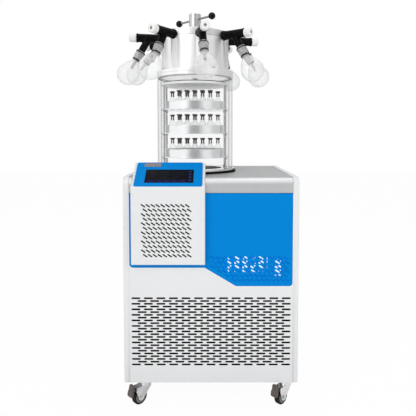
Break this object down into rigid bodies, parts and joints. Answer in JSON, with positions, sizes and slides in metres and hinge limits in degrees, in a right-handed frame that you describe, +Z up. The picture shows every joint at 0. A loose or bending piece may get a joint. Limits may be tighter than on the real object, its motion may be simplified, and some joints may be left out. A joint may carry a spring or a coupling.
{
  "type": "freeze dryer",
  "caption": "Floor-standing laboratory freeze dryer: a cabinet on casters under a clear stoppering chamber and a manifold of glass flasks.",
  "frame": {"origin": "on the floor, under the centre of the bounding box", "axes": "+X to the right seen from the front, +Y from the front to the back, +Z up"},
  "size_m": [0.6619, 0.5978, 1.411],
  "materials": {
    "light_grey_paint": "satin powder coat",
    "blue_paint": "satin powder coat",
    "silver_paint": "metallic paint",
    "dark_frame": "black paint",
    "polished_steel": "polished stainless steel",
    "plated_steel": "zinc plated",
    "black_rubber": "black silicone rubber",
    "stopper_rubber": "grey butyl rubber",
    "acrylic": "clear acrylic",
    "clear_glass": "clear borosilicate glass",
    "frosted_glass": "ground glass joint",
    "white_plastic": "white acetal",
    "black_plastic": "black phenolic",
    "dark_plastic": "moulded nylon",
    "screen": "display glass",
    "label_metal": "brushed",
    "caster_rubber": "solid rubber wheel",
    "copper": "copper pipe",
    "fin_metal": "mill finish",
    "board_green": "circuit board"
  },
  "bodies": {
    "cabinet": {"base_frame": "dark_frame", "left_side_panel": "light_grey_paint", "right_side_panel": "light_grey_paint", "rear_panel": "light_grey_paint", "lower_front_panel": "light_grey_paint", "blue_front_panel": "blue_paint", "top_cover": "silver_paint", "control_housing": "light_grey_paint", "bezel_panel": "blue_paint", "touch_screen": "screen", "label_plate": "label_metal", "power_inlet": "black_plastic", "vacuum_port": "polished_steel", "cold_trap": "polished_steel", "evaporator_coil": "copper", "compressor": "dark_frame", "condenser_core": "fin_metal", "fan_shroud": "dark_frame", "fan_motor": "dark_frame", "control_board": "board_green", "caster_plates": "plated_steel", "base_gasket": "black_rubber", "base_plate": "polished_steel", "acrylic_cylinder": "acrylic", "lid_gasket": "black_rubber", "lid_flange": "polished_steel", "manifold_drum": "polished_steel", "flange_nuts": "polished_steel", "guide_rods": "polished_steel", "rack_shelves": "polished_steel", "product_trays": "polished_steel", "vials": "clear_glass", "stoppers": "stopper_rubber", "valve_bodies": "black_rubber", "valve_adapters": "frosted_glass", "flasks": "clear_glass"},
    "caster_1": {"caster_fork_1": "plated_steel"},
    "wheel_1": {"caster_wheel_1": "caster_rubber"},
    "brake_1": {"brake_pedal_1": "dark_plastic"},
    "caster_2": {"caster_fork_2": "plated_steel"},
    "wheel_2": {"caster_wheel_2": "caster_rubber"},
    "brake_2": {"brake_pedal_2": "dark_plastic"},
    "caster_3": {"caster_fork_3": "plated_steel"},
    "wheel_3": {"caster_wheel_3": "caster_rubber"},
    "caster_4": {"caster_fork_4": "plated_steel"},
    "wheel_4": {"caster_wheel_4": "caster_rubber"},
    "knob_1": {"valve_knob_1": "white_plastic"},
    "knob_2": {"valve_knob_2": "white_plastic"},
    "knob_3": {"valve_knob_3": "white_plastic"},
    "knob_4": {"valve_knob_4": "white_plastic"},
    "knob_5": {"valve_knob_5": "white_plastic"},
    "knob_6": {"valve_knob_6": "white_plastic"},
    "knob_7": {"valve_knob_7": "white_plastic"},
    "knob_8": {"valve_knob_8": "white_plastic"},
    "press": {"press_plate": "polished_steel"},
    "handle": {"press_screw": "polished_steel", "handle_bar": "polished_steel", "handle_balls": "black_plastic"},
    "rocker": {"power_rocker": "black_plastic"},
    "fan": {"fan_blades": "dark_plastic"}
  },
  "joints": [
    {"name": "caster_swivel_1", "type": "hinge", "parent": "cabinet", "child": "caster_1", "pos_m": [-0.20197, -0.242, 0.07], "axis": [0, 0, 1], "continuous": true},
    {"name": "wheel_spin_1", "type": "hinge", "parent": "caster_1", "child": "wheel_1", "pos_m": [-0.21965, -0.25968, 0.027], "axis": [0.7071, -0.7071, 0], "continuous": true},
    {"name": "brake_tip_1", "type": "hinge", "parent": "caster_1", "child": "brake_1", "pos_m": [-0.22955, -0.26958, 0.0564], "axis": [0.7071, -0.7071, 0], "range_deg": [0, 10]},
    {"name": "caster_swivel_2", "type": "hinge", "parent": "cabinet", "child": "caster_2", "pos_m": [0.29302, -0.242, 0.07], "axis": [0, 0, 1], "continuous": true},
    {"name": "wheel_spin_2", "type": "hinge", "parent": "caster_2", "child": "wheel_2", "pos_m": [0.27535, -0.25968, 0.027], "axis": [0.7071, -0.7071, 0], "continuous": true},
    {"name": "brake_tip_2", "type": "hinge", "parent": "caster_2", "child": "brake_2", "pos_m": [0.26545, -0.26958, 0.0564], "axis": [0.7071, -0.7071, 0], "range_deg": [0, 10]},
    {"name": "caster_swivel_3", "type": "hinge", "parent": "cabinet", "child": "caster_3", "pos_m": [-0.20197, 0.242, 0.07], "axis": [0, 0, 1], "continuous": true},
    {"name": "wheel_spin_3", "type": "hinge", "parent": "caster_3", "child": "wheel_3", "pos_m": [-0.21965, 0.22432, 0.027], "axis": [0.7071, -0.7071, 0], "continuous": true},
    {"name": "caster_swivel_4", "type": "hinge", "parent": "cabinet", "child": "caster_4", "pos_m": [0.29302, 0.242, 0.07], "axis": [0, 0, 1], "continuous": true},
    {"name": "wheel_spin_4", "type": "hinge", "parent": "caster_4", "child": "wheel_4", "pos_m": [0.27535, 0.22432, 0.027], "axis": [0.7071, -0.7071, 0], "continuous": true},
    {"name": "knob_turn_1", "type": "hinge", "parent": "cabinet", "child": "knob_1", "pos_m": [0.0097, -0.23635, 1.3115], "axis": [0.1736, -0.9848, 0], "range_deg": [0, 180]},
    {"name": "knob_turn_2", "type": "hinge", "parent": "cabinet", "child": "knob_2", "pos_m": [0.16462, -0.13766, 1.3115], "axis": [0.8192, -0.5736, 0], "range_deg": [0, 180]},
    {"name": "knob_turn_3", "type": "hinge", "parent": "cabinet", "child": "knob_3", "pos_m": [0.20438, 0.04168, 1.3115], "axis": [0.9848, 0.1736, 0], "range_deg": [0, 180]},
    {"name": "knob_turn_4", "type": "hinge", "parent": "cabinet", "child": "knob_4", "pos_m": [0.10568, 0.1966, 1.3115], "axis": [0.5736, 0.8192, 0], "range_deg": [0, 180]},
    {"name": "knob_turn_5", "type": "hinge", "parent": "cabinet", "child": "knob_5", "pos_m": [-0.07365, 0.23635, 1.3115], "axis": [-0.1736, 0.9848, 0], "range_deg": [0, 180]},
    {"name": "knob_turn_6", "type": "hinge", "parent": "cabinet", "child": "knob_6", "pos_m": [-0.22857, 0.13766, 1.3115], "axis": [-0.8192, 0.5736, 0], "range_deg": [0, 180]},
    {"name": "knob_turn_7", "type": "hinge", "parent": "cabinet", "child": "knob_7", "pos_m": [-0.26833, -0.04168, 1.3115], "axis": [-0.9848, -0.1736, 0], "range_deg": [0, 180]},
    {"name": "knob_turn_8", "type": "hinge", "parent": "cabinet", "child": "knob_8", "pos_m": [-0.16963, -0.1966, 1.3115], "axis": [-0.5736, -0.8192, 0], "range_deg": [0, 180]},
    {"name": "press_slide", "type": "slide", "parent": "cabinet", "child": "press", "axis": [0, 0, -1], "range_m": [0, 0.018]},
    {"name": "handle_turn", "type": "hinge", "parent": "press", "child": "handle", "pos_m": [-0.03198, 0, 1.383], "axis": [0, 0, -1], "range_deg": [0, 1080]},
    {"name": "rocker_tip", "type": "hinge", "parent": "cabinet", "child": "rocker", "pos_m": [0.18102, 0.2765, 0.189], "axis": [1, 0, 0], "range_deg": [-9, 9]},
    {"name": "fan_spin", "type": "hinge", "parent": "cabinet", "child": "fan", "pos_m": [0.01103, -0.175, 0.263], "axis": [0, 1, 0], "continuous": true}
  ],
  "couplings": [
    {"joint": "handle_turn", "follows": "press_slide", "rad_per_m": 1047.2}
  ]
}
